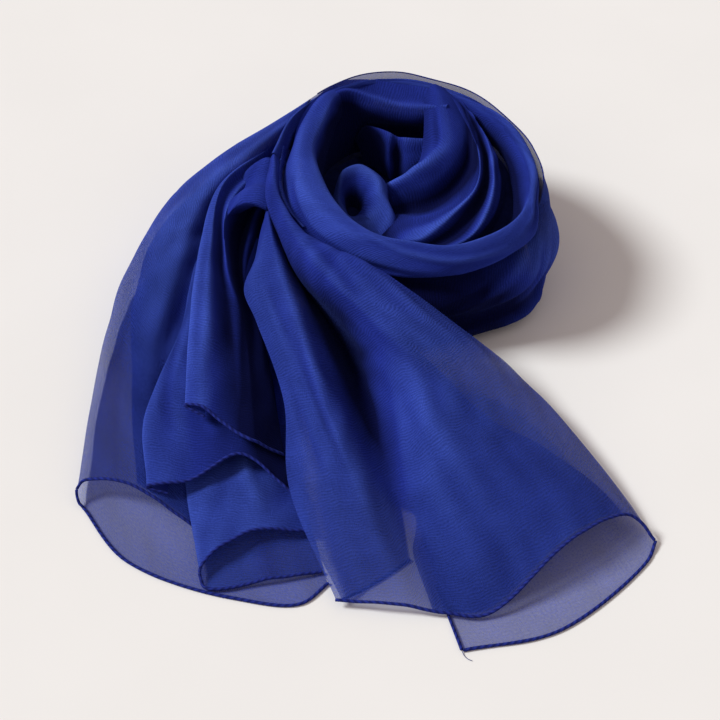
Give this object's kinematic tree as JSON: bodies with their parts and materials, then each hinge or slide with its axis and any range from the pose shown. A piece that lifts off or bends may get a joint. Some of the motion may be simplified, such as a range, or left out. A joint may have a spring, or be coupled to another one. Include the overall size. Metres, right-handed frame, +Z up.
{
  "type": "scarf",
  "caption": "Long sheer chiffon scarf gathered lengthwise and wound into a rosette, both ends fanned out flat with rolled hems; draped on a surface.",
  "frame": {"origin": "middle of the outline, on the surface that the scarf lies on", "axes": "+Z up from that surface, +Y from the two hemmed ends towards the rosette, +X to the right as seen from the ends"},
  "size_m": [0.42, 0.517, 0.1051],
  "materials": {
    "cobalt_chiffon": "sheer crepe chiffon, soft sheen",
    "rolled_hem": "rolled and stitched chiffon hem",
    "packed_chiffon": "many chiffon layers packed together"
  },
  "bodies": {
    "root": {"outer_turn": "cobalt_chiffon", "rim_turn": "cobalt_chiffon", "middle_turn": "cobalt_chiffon", "eye_scroll": "cobalt_chiffon", "inner_turn": "cobalt_chiffon", "far_fold": "cobalt_chiffon", "left_outer_fold": "cobalt_chiffon", "left_under_fold": "cobalt_chiffon", "left_middle_fold": "cobalt_chiffon", "left_top_fold": "cobalt_chiffon", "right_upper_layer": "cobalt_chiffon", "right_lower_layer": "cobalt_chiffon", "right_finger_tuck": "cobalt_chiffon", "coil_core": "packed_chiffon", "hem_left_outer_fold": "rolled_hem", "hem_left_under_fold": "rolled_hem", "hem_left_middle_fold": "rolled_hem", "hem_left_top_fold": "rolled_hem", "hem_right_upper_layer": "rolled_hem", "hem_right_lower_layer": "rolled_hem", "hem_right_finger_tuck": "rolled_hem", "hem_outer_turn": "rolled_hem"}
  },
  "joints": []
}
